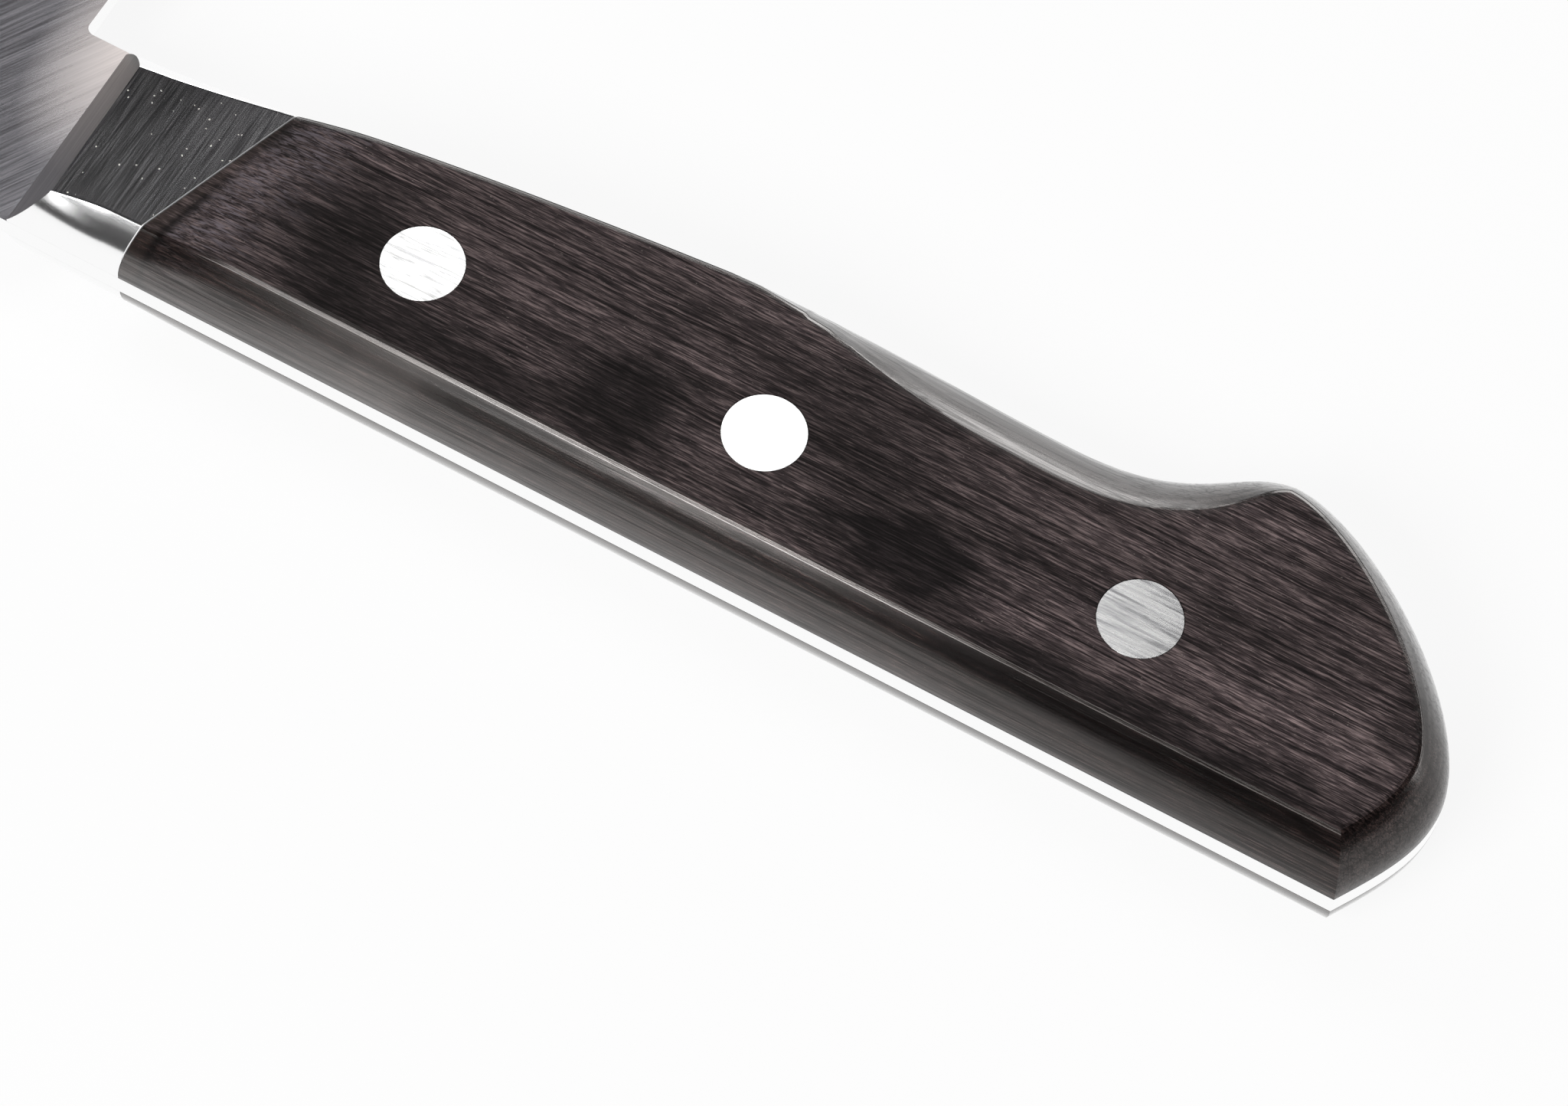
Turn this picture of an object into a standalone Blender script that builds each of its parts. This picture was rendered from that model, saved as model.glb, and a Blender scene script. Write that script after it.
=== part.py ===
"""Three-rivet chef knife with a full tang, lying on its left flank.

Every shape is drawn from one datum: x runs along the spine from the front of the bolster to the butt,
y from the spine to the cutting edge, and z from the middle of the steel to the right flank. One empty
then carries the whole knife to its frame, whose origin lies under the middle of the knife.
Sizes are in metres.
"""

import math

import bmesh
import bpy
from mathutils import Vector
from mathutils.geometry import interpolate_bezier

# Blade, measured from the heel forwards
BLADE_LENGTH = 0.210
HEEL_HEIGHT = 0.046
TIP_DROP = 0.017
EDGE_SWEEP = 3.6
SPINE_SWEEP = 5.0
FLAT_LENGTH = 0.115
TIP_TAPER = 0.35
TIP_TAPER_POWER = 1.5
STEEL_THICKNESS = 0.0022
EDGE_THICKNESS = 0.0005
EDGE_BEVEL = 0.0012
EDGE_BEVEL_FADE = 8
HEEL_GAP = 0.0043
HEEL_FILLET = 0.0008

# Handle in plan, measured from the front of the bolster and from the spine
NECK_HEIGHT = 0.01876
BELLY_STEP = 0.0004
SWELL_AT = 0.0605
SWELL_HEIGHT = 0.0247
SWELL_TILT = math.radians(4.7)
GRIP_FROM_SWELL = 0.0255
GRIP_HEIGHT = 0.02465
BEAK_FROM_GRIP = 0.0172
BEAK_HEIGHT = 0.0300
BUTT_FROM_BEAK = 0.02215
BUTT_MIDDLE = 0.0104
BUTT_BULGE = 0.0040

# How far each curve of that outline keeps its end directions, as a share of the run it spans
BUTT_CORNER_OUT = 0.64
BUTT_CORNER_UP = 0.41
BUTT_LOW_KEEP = 0.34
BUTT_HIGH_KEEP = 0.40
BEAK_BACK_KEEP = 0.345
BEAK_FRONT_KEEP = 0.33
GRIP_BACK_KEEP = 0.64
GRIP_FRONT_KEEP = 0.34
SWELL_BACK_KEEP = 0.36
SWELL_FRONT_KEEP = 0.72
NECK_KEEP = 0.264

# Handle in section: how far the flat face stands in from the outline
SPINE_FRONT_INSET = 0.0019
SPINE_INSET = 0.0028
SPINE_INSET_RUN = 0.009
BUTT_INSET = 0.0031
BEAK_INSET = 0.0027
GRIP_INSET = 0.0058
BELLY_INSET = 0.0018
NECK_INSET = 0.0029
SIDE_POWER = 2.0
SIDE_RINGS = 6
CORNER_REACH = 0.62

# Handle seen on its spine: height of the right face over the tang
SCALE_THICKNESS = 0.0059
BOLSTER_THICKNESS = 0.0043
VALLEY_DROP = 0.0007
VALLEY_AT = 0.0126
VALLEY_SLANT = math.radians(15.0)
RAMP_LENGTH = 0.0072
RAMP_SLICES = 6
BOLSTER_SLOPE_LENGTH = 0.0034
BOLSTER_TOE = 0.0002
JOINT_AT = 0.0107
JOINT_SLANT = math.radians(19.6)

# Rivets
RIVET_FIRST = 0.0332
RIVET_PITCH_FRONT = 0.0313
RIVET_PITCH_REAR = 0.0335
RIVET_FRONT_FROM_SPINE = 0.0107
RIVET_REAR_FROM_SPINE = 0.01125
RIVET_HEAD_DIAMETER = 0.0070
RIVET_HEAD_THICKNESS = 0.0018
RIVET_SLEEVE_DIAMETER = 0.0048
RIVET_PIN_DIAMETER = 0.0030
RIVET_PIN_SHORT = 0.0010
RIVET_SIDES = 40

# Clearances
GLUE_LINE = 0.00006
RIVET_FIT = 0.00006
RIVET_SINK = 0.00004

# Fineness
BLADE_STATIONS = 26
STATION_SPREAD = 1.5
SPINE_POINTS = 6
BUTT_POINTS = 14
BELLY_POINTS = 20
HEEL_FILLET_SEGMENTS = 4
WELD = 1e-7
MITRE_LIMIT = 0.5

BEAK_AT = SWELL_AT + GRIP_FROM_SWELL + BEAK_FROM_GRIP
BUTT_AT = BEAK_AT + BUTT_FROM_BEAK
TIP_AT = -HEEL_GAP - BLADE_LENGTH
HALF_STEEL = STEEL_THICKNESS / 2
SEAT = HALF_STEEL + GLUE_LINE
FACE = SEAT + SCALE_THICKNESS
BLANK_START = -0.003
EXTRA = 0.001


def clear_scene():
    for old in list(bpy.data.objects):
        bpy.data.objects.remove(old, do_unlink=True)


def finish(name, color, roughness, metallic):
    material = bpy.data.materials.new(name)
    material.use_nodes = True
    shader = material.node_tree.nodes["Principled BSDF"]
    shader.inputs["Base Color"].default_value = (*color, 1.0)
    shader.inputs["Roughness"].default_value = roughness
    shader.inputs["Metallic"].default_value = metallic
    return material


def make_object(name, mesh_builder, material, parent, sharp=30.0):
    bmesh.ops.recalc_face_normals(mesh_builder, faces=mesh_builder.faces)
    mesh = bpy.data.meshes.new(name)
    mesh_builder.to_mesh(mesh)
    mesh_builder.free()
    mesh.shade_smooth()
    mesh.set_sharp_from_angle(angle=math.radians(sharp))
    if material:
        mesh.materials.append(material)
    made = bpy.data.objects.new(name, mesh)
    bpy.context.scene.collection.objects.link(made)
    made.parent = parent
    return made


def bezier(start, start_handle, end_handle, end, count):
    """Points along a cubic curve, without its first one."""
    corners = [Vector((*p, 0.0)) for p in (start, start_handle, end_handle, end)]
    return [(p.x, p.y) for p in interpolate_bezier(*corners, count + 1)[1:]]


def spine_line():
    """The straight spine, with more points over the bolster, where its inset grows."""
    grows = [(SPINE_INSET_RUN * step / SPINE_POINTS, 0.0) for step in range(SPINE_POINTS + 1)]
    return [(BLANK_START, 0.0), *grows, (BUTT_AT - BUTT_BULGE, 0.0)]


def butt_line():
    """From the sharp spine corner round the butt to the top of the beak.

    Points so near the corner that their inset would cross its mitre are left out.
    """
    corner = (BUTT_AT - BUTT_BULGE, 0.0)
    end = (BUTT_AT, BUTT_MIDDLE)
    beak = (BEAK_AT, BEAK_HEIGHT)
    low = bezier(
        corner,
        (corner[0] + BUTT_CORNER_OUT * BUTT_BULGE, BUTT_CORNER_UP * BUTT_MIDDLE),
        (BUTT_AT, (1 - BUTT_LOW_KEEP) * BUTT_MIDDLE),
        end,
        BUTT_POINTS,
    )
    low = [p for p in low if math.dist(p, corner) > CORNER_REACH * BUTT_INSET]
    rise = BEAK_HEIGHT - BUTT_MIDDLE
    high = bezier(
        end,
        (BUTT_AT, BUTT_MIDDLE + BUTT_HIGH_KEEP * rise),
        (BEAK_AT + BEAK_BACK_KEEP * BUTT_FROM_BEAK, BEAK_HEIGHT),
        beak,
        BELLY_POINTS,
    )
    return low, high


def belly_line():
    """From the beak through the finger groove and over the swell to the neck."""
    beak = (BEAK_AT, BEAK_HEIGHT)
    grip = (SWELL_AT + GRIP_FROM_SWELL, GRIP_HEIGHT)
    swell = (SWELL_AT, SWELL_HEIGHT)
    neck = (BLANK_START, NECK_HEIGHT - BELLY_STEP)
    hook = bezier(
        beak,
        (BEAK_AT - BEAK_FRONT_KEEP * BEAK_FROM_GRIP, BEAK_HEIGHT),
        (grip[0] + GRIP_BACK_KEEP * BEAK_FROM_GRIP, GRIP_HEIGHT),
        grip,
        BELLY_POINTS,
    )
    back_run = SWELL_BACK_KEEP * GRIP_FROM_SWELL
    front_run = SWELL_FRONT_KEEP * SWELL_AT
    palm = bezier(
        grip,
        (grip[0] - GRIP_FRONT_KEEP * GRIP_FROM_SWELL, GRIP_HEIGHT),
        (SWELL_AT + back_run, SWELL_HEIGHT + back_run * math.tan(SWELL_TILT)),
        swell,
        BELLY_POINTS,
    )
    front = bezier(
        swell,
        (SWELL_AT - front_run, SWELL_HEIGHT - front_run * math.tan(SWELL_TILT)),
        (SWELL_AT * NECK_KEEP, neck[1]),
        neck,
        BELLY_POINTS,
    )
    return hook, palm, front


def smooth(share):
    return (1 - math.cos(math.pi * share)) / 2


def quick(share):
    return math.sin(math.pi / 2 * share)


def late(share):
    return share**3


def handle_outline():
    """The outline at the tang, and the inset of the flat face at each of its points."""
    spine = spine_line()
    low, high = butt_line()
    hook, palm, front = belly_line()
    points = spine + low + high + hook + palm + front
    insets = []
    for x, _ in spine:
        share = min(max(x / SPINE_INSET_RUN, 0.0), 1.0)
        insets.append(SPINE_FRONT_INSET + (SPINE_INSET - SPINE_FRONT_INSET) * smooth(share))
    zones = (
        (low, BUTT_INSET, smooth),
        (high, BEAK_INSET, smooth),
        (hook, GRIP_INSET, quick),
        (palm, BELLY_INSET, late),
        (front, NECK_INSET, late),
    )
    for zone, inset, ease in zones:
        start = insets[-1]
        for i in range(1, len(zone) + 1):
            insets.append(start + (inset - start) * ease(i / len(zone)))
    return points, insets


def inward(points):
    """Mitred unit offsets to the inside of an open outline."""
    offsets = []
    for i, here in enumerate(points):
        before = points[max(i - 1, 0)]
        after = points[min(i + 1, len(points) - 1)]
        sides = []
        for a, b in ((before, here), (here, after)):
            run = Vector((b[0] - a[0], b[1] - a[1]))
            if run.length > 0:
                run.normalize()
                sides.append(Vector((-run.y, run.x)))
        middle = sum(sides, Vector((0.0, 0.0))).normalized()
        offsets.append(middle / max(middle.dot(sides[0]), MITRE_LIMIT))
    return offsets


def handle_blank():
    """Half a handle at full thickness: rings that draw in from the tang up to the flat face."""
    points, insets = handle_outline()
    offsets = inward(points)
    mesh = bmesh.new()
    rings = []
    for step in range(SIDE_RINGS + 1):
        rise = step / SIDE_RINGS
        ring = []
        for point, inset, offset in zip(points, insets, offsets):
            spot = Vector(point) + offset * inset * rise**SIDE_POWER
            ring.append(mesh.verts.new((spot.x, spot.y, SEAT + SCALE_THICKNESS * rise)))
        rings.append(ring)
    for lower, upper in zip(rings, rings[1:]):
        for i in range(len(points)):
            j = (i + 1) % len(points)
            mesh.faces.new((lower[i], lower[j], upper[j], upper[i]))
    mesh.faces.new(reversed(rings[0]))
    mesh.faces.new(rings[-1])
    return mesh


def whole(mesh):
    return mesh.verts[:] + mesh.edges[:] + mesh.faces[:]


def face_height(x, y):
    """Height of the ground face over the tang: bolster taper, slanted valley, ramp and flat."""
    valley = SCALE_THICKNESS - VALLEY_DROP
    past = (x - VALLEY_AT) * math.cos(VALLEY_SLANT) - y * math.sin(VALLEY_SLANT)
    if past < 0:
        return valley + (valley - BOLSTER_THICKNESS) * past / VALLEY_AT
    left = max(0.0, 1 - past / RAMP_LENGTH)
    return SCALE_THICKNESS - VALLEY_DROP * left**2


def grind_front(mesh):
    """Slices the blank across the ramp and brings its front down to the bolster's height."""
    across = Vector((math.cos(VALLEY_SLANT), -math.sin(VALLEY_SLANT), 0.0))
    for step in range(RAMP_SLICES + 1):
        spot = Vector((VALLEY_AT, 0.0, 0.0)) + across * RAMP_LENGTH * step / RAMP_SLICES
        bmesh.ops.bisect_plane(mesh, geom=whole(mesh), plane_co=spot, plane_no=across)
    for vert in mesh.verts:
        share = face_height(vert.co.x, vert.co.y) / SCALE_THICKNESS
        vert.co.z = SEAT + (vert.co.z - SEAT) * share


def keep_side(mesh, spot, normal):
    """Cuts the mesh and keeps what lies against the normal, with the cut closed."""
    bmesh.ops.bisect_plane(mesh, geom=whole(mesh), plane_co=spot, plane_no=normal, clear_outer=True)
    open_edges = [edge for edge in mesh.edges if edge.is_boundary]
    bmesh.ops.holes_fill(mesh, edges=open_edges)


def joint_plane(shift):
    """The slanted plane between bolster and scale, moved along its normal."""
    normal = Vector((math.cos(JOINT_SLANT), -math.sin(JOINT_SLANT), 0.0))
    return Vector((JOINT_AT, 0.0, 0.0)) + normal * shift, normal


def to_left(mesh):
    bmesh.ops.scale(mesh, vec=(1, 1, -1), verts=mesh.verts)
    bmesh.ops.reverse_faces(mesh, faces=mesh.faces)


def scale_mesh(left):
    mesh = handle_blank()
    grind_front(mesh)
    spot, normal = joint_plane(GLUE_LINE / 2)
    keep_side(mesh, spot, -normal)
    if left:
        to_left(mesh)
    return mesh


def bolster_mesh(left):
    mesh = handle_blank()
    grind_front(mesh)
    spot, normal = joint_plane(-GLUE_LINE / 2)
    keep_side(mesh, spot, normal)
    keep_side(mesh, (0, 0, 0), (-1, 0, 0))
    rise = face_height(BOLSTER_SLOPE_LENGTH, 0.0) - BOLSTER_TOE
    keep_side(mesh, (0, 0, SEAT + BOLSTER_TOE), (-rise, 0, BOLSTER_SLOPE_LENGTH))
    if left:
        to_left(mesh)
    return mesh


def blade_section(mesh, distance):
    """One ring of the blade: spine, neck line, bevel shoulder and edge, then back on the left."""
    along = distance / BLADE_LENGTH
    spine = TIP_DROP * along**SPINE_SWEEP
    edge = HEEL_HEIGHT - (HEEL_HEIGHT - TIP_DROP) * along**EDGE_SWEEP
    shoulder = edge - EDGE_BEVEL * (1 - along**EDGE_BEVEL_FADE)
    neck = spine + (edge - spine) * NECK_HEIGHT / HEEL_HEIGHT
    slope = (STEEL_THICKNESS - EDGE_THICKNESS) / 2 / (HEEL_HEIGHT - EDGE_BEVEL)
    past_flat = max(0.0, distance - FLAT_LENGTH) / (BLADE_LENGTH - FLAT_LENGTH)
    thin = 1 - (1 - TIP_TAPER) * past_flat**TIP_TAPER_POWER
    x = -HEEL_GAP - distance
    half = [(y, (HALF_STEEL - slope * y) * thin) for y in (spine, neck, shoulder)]
    around = half + [(edge, 0.0)] + [(y, -z) for y, z in reversed(half)]
    return [mesh.verts.new((x, y, z)) for y, z in around]


def blade_body(mesh):
    """The blade from heel to tip. Returns the heel's ring."""
    rings = []
    for station in range(BLADE_STATIONS):
        left = 1 - station / BLADE_STATIONS
        rings.append(blade_section(mesh, BLADE_LENGTH * (1 - left**STATION_SPREAD)))
    tip = mesh.verts.new((TIP_AT, TIP_DROP, 0.0))
    sides = len(rings[0])
    for near, far in zip(rings, rings[1:]):
        for i in range(sides):
            j = (i + 1) % sides
            mesh.faces.new((near[i], near[j], far[j], far[i]))
    for i in range(sides):
        mesh.faces.new((rings[-1][i], rings[-1][(i + 1) % sides], tip))
    heel = rings[0]
    mesh.faces.new(heel[1:6])
    return heel


def tang_body(mesh, heel):
    """The neck and the tang behind the heel, flush with the handle's outline."""
    points = [p for p in handle_outline()[0] if p[0] >= 0.0]
    points.append((0.0, NECK_HEIGHT))
    right = [mesh.verts.new((x, y, HALF_STEEL)) for x, y in points]
    left = [mesh.verts.new((x, y, -HALF_STEEL)) for x, y in points]
    for i in range(len(points) - 1):
        mesh.faces.new((right[i], right[i + 1], left[i + 1], left[i]))
    mesh.faces.new(right)
    mesh.faces.new(reversed(left))
    mesh.faces.new((heel[0], heel[1], right[-1], right[0]))
    mesh.faces.new((heel[6], heel[5], left[-1], left[0]))
    mesh.faces.new((heel[0], right[0], left[0], heel[6]))
    mesh.faces.new((heel[1], right[-1], left[-1], heel[5]))


def blade_mesh():
    mesh = bmesh.new()
    heel = blade_body(mesh)
    tang_body(mesh, heel)
    notch = mesh.edges.get((heel[1], heel[5]))
    bmesh.ops.recalc_face_normals(mesh, faces=mesh.faces)
    bmesh.ops.bevel(
        mesh,
        geom=[notch],
        offset=HEEL_FILLET,
        segments=HEEL_FILLET_SEGMENTS,
        profile=0.5,
        affect="EDGES",
        material=-1,
    )
    return mesh


def turned(profile, sides):
    """A closed solid turned round z from (radius, height) pairs that start and end on the axis."""
    mesh = bmesh.new()
    verts = [mesh.verts.new((r, 0.0, z)) for r, z in profile]
    edges = [mesh.edges.new(pair) for pair in zip(verts, verts[1:])]
    bmesh.ops.spin(
        mesh,
        geom=verts + edges,
        cent=(0, 0, 0),
        axis=(0, 0, 1),
        angle=math.tau,
        steps=sides,
        use_merge=True,
    )
    bmesh.ops.remove_doubles(mesh, verts=mesh.verts, dist=WELD)
    return mesh


def male_rivet_mesh():
    """Head on the right face with a solid pin that is pressed into the sleeve."""
    head = RIVET_HEAD_DIAMETER / 2
    pin = RIVET_PIN_DIAMETER / 2
    top = FACE - RIVET_SINK
    under = top - RIVET_HEAD_THICKNESS
    end = -FACE + RIVET_HEAD_THICKNESS + RIVET_PIN_SHORT
    return turned([(0, top), (head, top), (head, under), (pin, under), (pin, end), (0, end)], RIVET_SIDES)


def female_rivet_mesh():
    """Head on the left face with the sleeve that passes through both scales and the tang."""
    head = RIVET_HEAD_DIAMETER / 2
    sleeve = RIVET_SLEEVE_DIAMETER / 2
    bore = RIVET_PIN_DIAMETER / 2 + RIVET_FIT
    low = -FACE + RIVET_SINK
    upper = low + RIVET_HEAD_THICKNESS
    mouth = FACE - RIVET_SINK - RIVET_HEAD_THICKNESS - RIVET_FIT
    profile = [
        (0, upper),
        (bore, upper),
        (bore, mouth),
        (sleeve, mouth),
        (sleeve, upper),
        (head, upper),
        (head, low),
        (0, low),
    ]
    return turned(profile, RIVET_SIDES)


def pocket_mesh():
    """What one rivet takes out of scales and tang: a hole with a wider seat at each face."""
    head = RIVET_HEAD_DIAMETER / 2 + RIVET_FIT
    sleeve = RIVET_SLEEVE_DIAMETER / 2 + RIVET_FIT
    seat = FACE - RIVET_SINK - RIVET_HEAD_THICKNESS - RIVET_FIT
    out = FACE + EXTRA
    profile = [
        (0, out),
        (head, out),
        (head, seat),
        (sleeve, seat),
        (sleeve, -seat),
        (head, -seat),
        (head, -out),
        (0, -out),
    ]
    return turned(profile, RIVET_SIDES)


def cut(target, cutter):
    modifier = target.modifiers.new(cutter.name, "BOOLEAN")
    modifier.operation = "DIFFERENCE"
    modifier.solver = "EXACT"
    modifier.object = cutter


def knife_frame():
    """The empty that lays the knife on its left face, with the origin under the middle of its box."""
    frame = bpy.data.objects.new("knife", None)
    bpy.context.scene.collection.objects.link(frame)
    frame.location = (-(TIP_AT + BUTT_AT) / 2, -HEEL_HEIGHT / 2, FACE)
    return frame


def build_handle(knife, steel, bolster_steel, wood):
    blade = make_object("blade", blade_mesh(), steel, knife, sharp=12.0)
    make_object("bolster_right", bolster_mesh(False), bolster_steel, knife)
    make_object("bolster_left", bolster_mesh(True), bolster_steel, knife)
    scale_right = make_object("scale_right", scale_mesh(False), wood, knife)
    scale_left = make_object("scale_left", scale_mesh(True), wood, knife)
    return [blade, scale_right, scale_left]


def build_rivets(knife, drilled, rivet_steel):
    places = (
        ("front", RIVET_FIRST),
        ("middle", RIVET_FIRST + RIVET_PITCH_FRONT),
        ("rear", RIVET_FIRST + RIVET_PITCH_FRONT + RIVET_PITCH_REAR),
    )
    for place, x in places:
        share = (x - RIVET_FIRST) / (RIVET_PITCH_FRONT + RIVET_PITCH_REAR)
        y = RIVET_FRONT_FROM_SPINE + (RIVET_REAR_FROM_SPINE - RIVET_FRONT_FROM_SPINE) * share
        spot = (x, y, 0.0)
        pocket = make_object(f"rivet_pocket_{place}", pocket_mesh(), None, knife)
        pocket.hide_render = True
        pocket.display_type = "WIRE"
        male = make_object(f"rivet_{place}_male", male_rivet_mesh(), rivet_steel, knife)
        female = make_object(f"rivet_{place}_female", female_rivet_mesh(), rivet_steel, knife)
        for piece in (pocket, male, female):
            piece.location = spot
        for piece in drilled:
            cut(piece, pocket)


def main():
    clear_scene()
    knife = knife_frame()
    steel = finish("blade steel", (0.42, 0.43, 0.44), 0.30, 1.0)
    bolster_steel = finish("bolster steel", (0.40, 0.40, 0.41), 0.25, 1.0)
    rivet_steel = finish("rivet steel", (0.75, 0.75, 0.74), 0.30, 1.0)
    wood = finish("laminated wood", (0.030, 0.023, 0.023), 0.38, 0.0)
    drilled = build_handle(knife, steel, bolster_steel, wood)
    build_rivets(knife, drilled, rivet_steel)


main()
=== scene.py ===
import math

import bmesh
import bpy
from mathutils import Matrix, Vector
from mathutils.geometry import interpolate_bezier


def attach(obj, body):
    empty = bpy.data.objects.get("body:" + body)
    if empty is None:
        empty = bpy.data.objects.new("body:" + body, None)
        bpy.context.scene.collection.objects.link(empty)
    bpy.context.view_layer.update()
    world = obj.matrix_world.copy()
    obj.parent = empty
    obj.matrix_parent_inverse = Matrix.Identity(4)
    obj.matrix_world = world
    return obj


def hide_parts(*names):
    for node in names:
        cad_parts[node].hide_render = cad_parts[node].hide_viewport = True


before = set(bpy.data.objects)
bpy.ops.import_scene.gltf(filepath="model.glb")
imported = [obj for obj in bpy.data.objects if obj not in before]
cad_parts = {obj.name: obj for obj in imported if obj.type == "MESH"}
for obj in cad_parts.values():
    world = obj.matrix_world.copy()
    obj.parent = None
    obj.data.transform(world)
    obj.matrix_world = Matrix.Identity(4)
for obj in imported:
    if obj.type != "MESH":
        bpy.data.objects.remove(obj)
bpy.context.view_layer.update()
print("frame loaded,", len(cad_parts), "nodes")

# lengths in metres: x from the bolster's front to the butt, y from the spine to the edge, z from the steel's middle
datum = {
    "tipAt": -0.2143, "buttAt": 0.12535, "heelHeight": 0.046,
    "halfSteel": 0.0011, "seat": 0.00116, "face": 0.00706,
    "same": 1e-6, "flatNormal": 0.9995,
}
toFrame = Vector((-(datum["tipAt"] + datum["buttAt"]) / 2, -datum["heelHeight"] / 2, datum["face"]))

handleForm = {
    "neckHeight": 0.01876, "bellyStep": 0.0004, "blankStart": -0.003,
    "swell": (0.0605, 0.0247), "swellTilt": math.tan(math.radians(4.7)),
    "grip": (0.0860, 0.02465), "beak": (0.1032, 0.0300), "butt": (0.12535, 0.0104), "buttBulge": 0.0040,
    # how far each curve of the outline keeps its end's direction, as a share of its run
    "pull": {
        "corner": (0.64, 0.41), "buttLow": 0.66, "buttHigh": 0.40, "beakBack": 0.345, "beakFront": 0.33,
        "gripBack": 0.64, "gripFront": 0.34, "swellBack": 0.36, "swellFront": 0.72, "neck": 0.264,
    },
    "spineFrontInset": 0.0019, "spineInset": 0.0028, "spineInsetRun": 0.009, "buttInset": 0.0031,
    "beakInset": 0.0027, "gripInset": 0.0058, "bellyInset": 0.0018, "neckInset": 0.0029,
    "grooveSoft": 0.0042, "cornerReach": 0.62, "mitreLimit": 0.5, "creaseSegments": 4,
    "thickness": 0.0059, "bolsterThickness": 0.0043, "valleyDrop": 0.0007, "rampLength": 0.0072,
    "valleyAt": 0.0126, "valleySlant": math.radians(15.0),
    "jointAt": 0.0107, "jointSlant": math.radians(19.6), "jointGap": 0.00006,
    "frontPoints": 20, "spinePoints": 28, "curvePoints": 44, "sideRings": 20, "rampSlices": 14,
}


def easeBoth(share):
    return (1 - math.cos(math.pi * share)) / 2


def easeOut(share):
    return math.sin(math.pi / 2 * share)


def easeIn(share):
    return share**3


def bezier(start, startHandle, endHandle, end, count):
    corners = [Vector((*spot, 0)) for spot in (start, startHandle, endHandle, end)]
    return [spot.to_2d() for spot in interpolate_bezier(*corners, count + 1)[1:]]


def handleCurves(form):
    # the outline from the butt's corner round the beak, grip and swell to the neck
    pull, tilt = form["pull"], form["swellTilt"]
    butt, beak, grip, swell = form["butt"], form["beak"], form["grip"], form["swell"]
    corner = (butt[0] - form["buttBulge"], 0)
    cornerHandle = (corner[0] + pull["corner"][0] * form["buttBulge"], pull["corner"][1] * butt[1])
    neck = (form["blankStart"], form["neckHeight"] - form["bellyStep"])
    rise, back = beak[1] - butt[1], butt[0] - beak[0]
    reach, palm = beak[0] - grip[0], grip[0] - swell[0]
    swellBack, swellFront = pull["swellBack"] * palm, pull["swellFront"] * swell[0]
    curves = [
        (corner, cornerHandle, (butt[0], pull["buttLow"] * butt[1]), butt),
        (butt, (butt[0], butt[1] + pull["buttHigh"] * rise), (beak[0] + pull["beakBack"] * back, beak[1]), beak),
        (beak, (beak[0] - pull["beakFront"] * reach, beak[1]), (grip[0] + pull["gripBack"] * reach, grip[1]), grip),
        (grip, (grip[0] - pull["gripFront"] * palm, grip[1]), (swell[0] + swellBack, swell[1] + swellBack * tilt), swell),
        (swell, (swell[0] - swellFront, swell[1] - swellFront * tilt), (pull["neck"] * swell[0], neck[1]), neck),
    ]
    return [bezier(*curve, form["curvePoints"]) for curve in curves]


def handleLine(form):
    # outline at the tang with the inset of the flat face at each point
    corner = Vector((form["butt"][0] - form["buttBulge"], 0))
    line = [(Vector((form["blankStart"], 0)), form["spineFrontInset"])]
    grows = form["spineInset"] - form["spineFrontInset"]
    run = form["butt"][0] - form["buttBulge"] - form["spineInsetRun"]
    for i in range(form["frontPoints"] + 1):
        share = i / form["frontPoints"]
        inset = form["spineFrontInset"] + grows * easeBoth(share)
        line.append((Vector((form["spineInsetRun"] * share, 0)), inset))
    for i in range(1, form["spinePoints"] + 1):
        line.append((Vector((form["spineInsetRun"] + run * i / form["spinePoints"], 0)), form["spineInset"]))
    curves = handleCurves(form)
    # spots whose inset would cross the corner's mitre are left out
    clear = form["cornerReach"] * form["buttInset"]
    curves[0] = [spot for spot in curves[0] if (spot - corner).length > clear]
    insets = [form[name] for name in ("buttInset", "beakInset", "gripInset", "bellyInset", "neckInset")]
    for spots, inset, ease in zip(curves, insets, (easeBoth, easeBoth, easeOut, easeIn, easeIn)):
        start = line[-1][1]
        for i, spot in enumerate(spots):
            line.append((spot, start + (inset - start) * ease((i + 1) / len(spots))))
    softenGroove(line, form)
    return line


def softenGroove(line, form):
    # the groove's front end is sanded soft: along the belly each inset is averaged with its neighbours
    belly = line[-2 * form["curvePoints"]:]
    for i, (spot, inset) in enumerate(belly):
        width = min(form["grooveSoft"], abs(form["grip"][0] - spot.x))
        near = [other for place, other in belly if abs(place.x - spot.x) < width]
        line[i - len(belly)] = (spot, sum(near) / len(near) if near else inset)


def inwardOffsets(spots, mitreLimit):
    offsets = []
    for i, here in enumerate(spots):
        sides = []
        for a, b in ((spots[max(i - 1, 0)], here), (here, spots[min(i + 1, len(spots) - 1)])):
            if (b - a).length > 0:
                run = (b - a).normalized()
                sides.append(Vector((-run.y, run.x)))
        middle = sum(sides, Vector((0, 0))).normalized()
        offsets.append(middle / max(middle.dot(sides[0]), mitreLimit))
    return offsets


def everything(bm):
    return bm.verts[:] + bm.edges[:] + bm.faces[:]


def growRing(bm, ring, place):
    # pulls a loop of edges out by one step; place gives each new vertex its spot from its station
    made = bmesh.ops.extrude_edge_only(bm, edges=ring)["geom"]
    fresh = {v for v in made if isinstance(v, bmesh.types.BMVert)}
    mark = bm.verts.layers.int["station"]
    for v in fresh:
        v.co = place(v[mark])
    return [e for e in made if isinstance(e, bmesh.types.BMEdge) and e.verts[0] in fresh and e.verts[1] in fresh]


def startRing(bm, spots):
    mark = bm.verts.layers.int.new("station")
    verts = [bm.verts.new(spot) for spot in spots]
    for i, v in enumerate(verts):
        v[mark] = i
    return [bm.edges.new((verts[i - 1], verts[i])) for i in range(len(verts))]


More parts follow.
